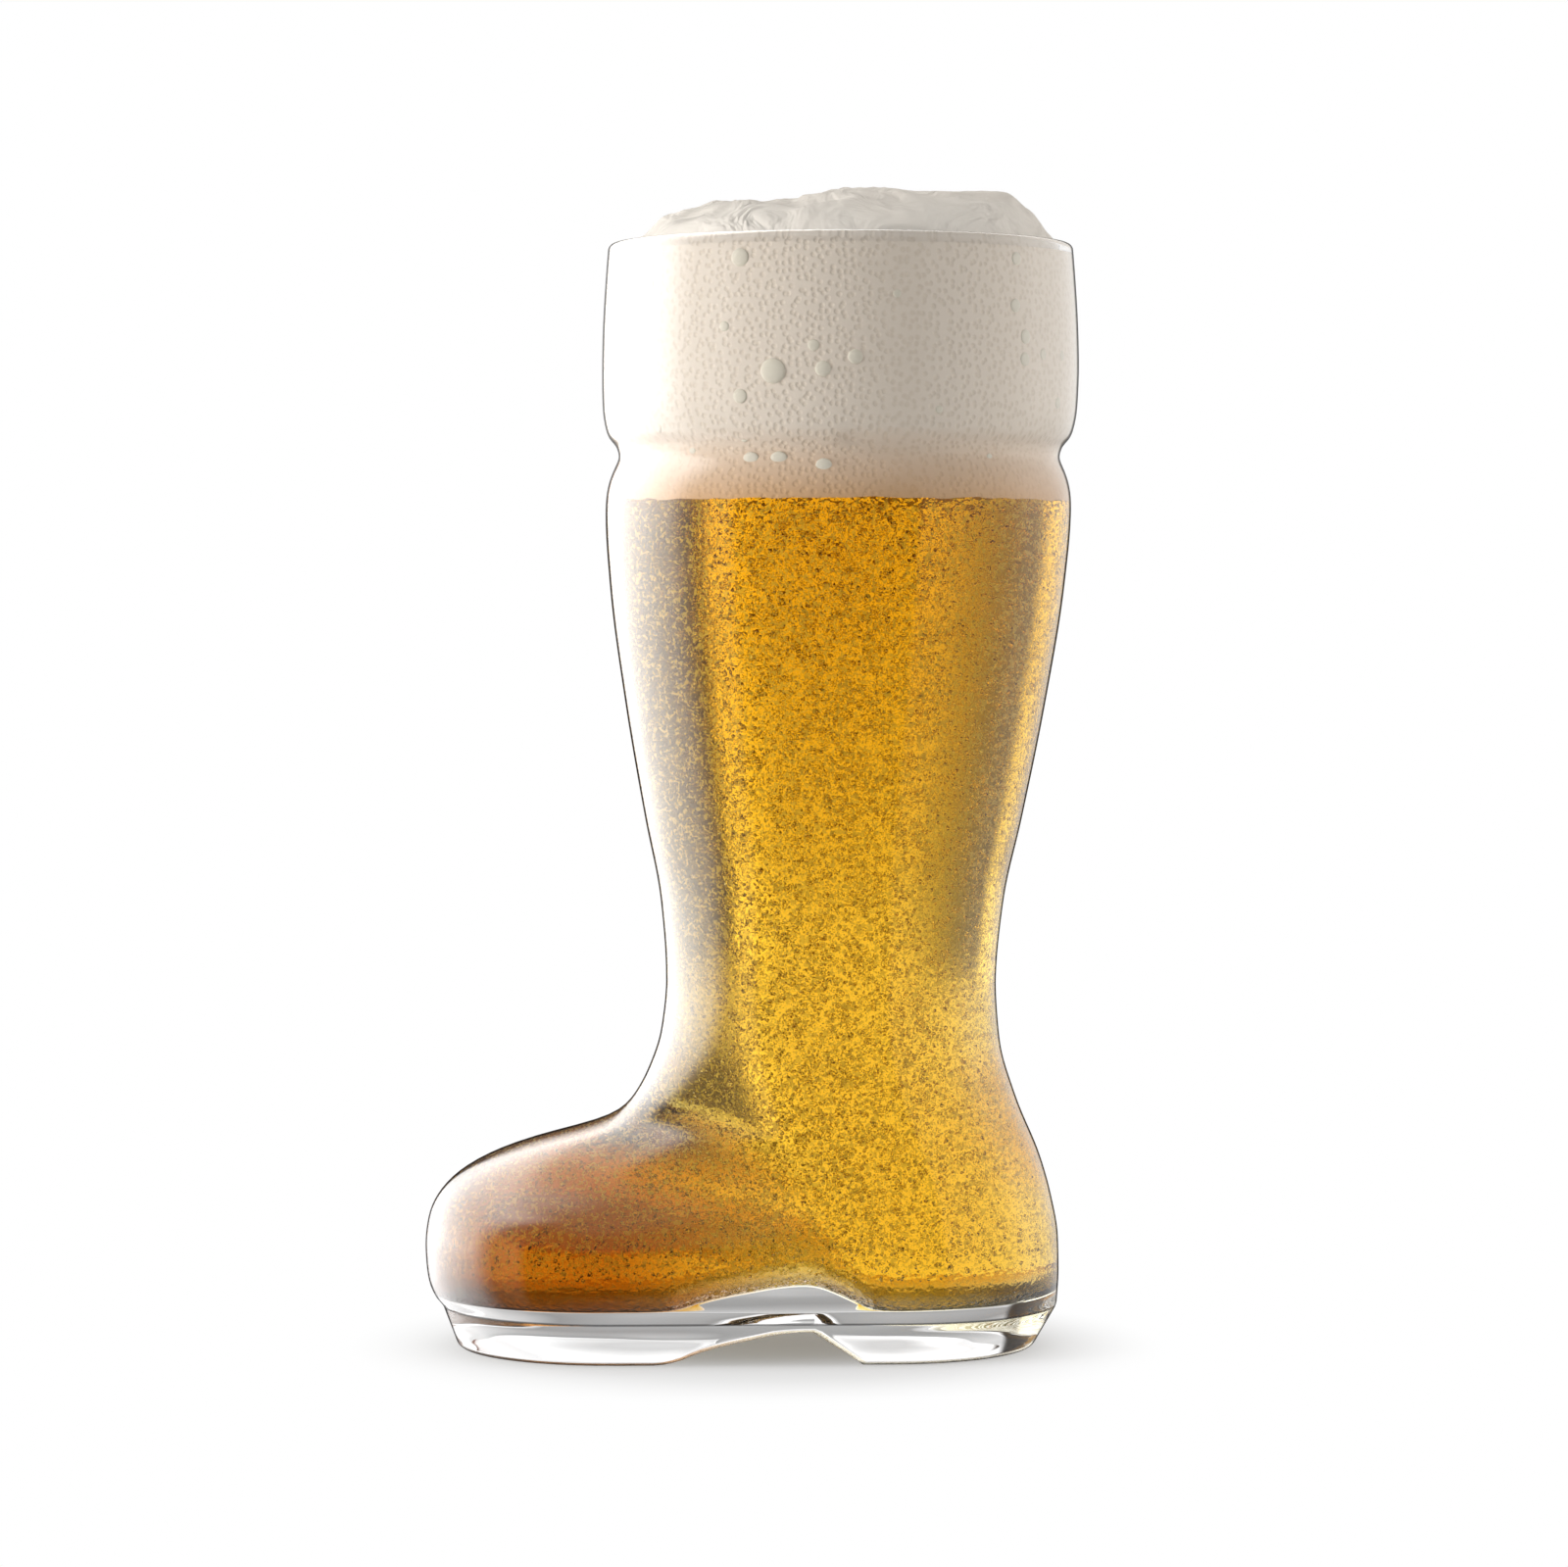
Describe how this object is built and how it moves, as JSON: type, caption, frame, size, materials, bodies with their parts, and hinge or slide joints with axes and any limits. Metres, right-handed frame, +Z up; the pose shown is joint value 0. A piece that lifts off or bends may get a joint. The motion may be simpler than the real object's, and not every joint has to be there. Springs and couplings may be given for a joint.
{
  "type": "boot-shaped beer glass",
  "caption": "Drinking glass blown in the shape of a boot, with a grooved cuff and a thick arched sole, filled with amber beer under a head of white foam.",
  "frame": {"origin": "centre of the box round the object, on the surface that the sole stands on", "axes": "+Z up along the leg, -X towards the toe, +X towards the heel, +Y across the foot"},
  "size_m": [0.1395, 0.1014, 0.2477],
  "materials": {
    "clear_glass": "fire polished clear soda-lime glass",
    "beer": "clear golden lager with fine bubbles",
    "foam": "matt off-white beer foam"
  },
  "bodies": {
    "root": {"glass_boot": "clear_glass", "beer": "beer", "foam_head": "foam"}
  },
  "joints": []
}
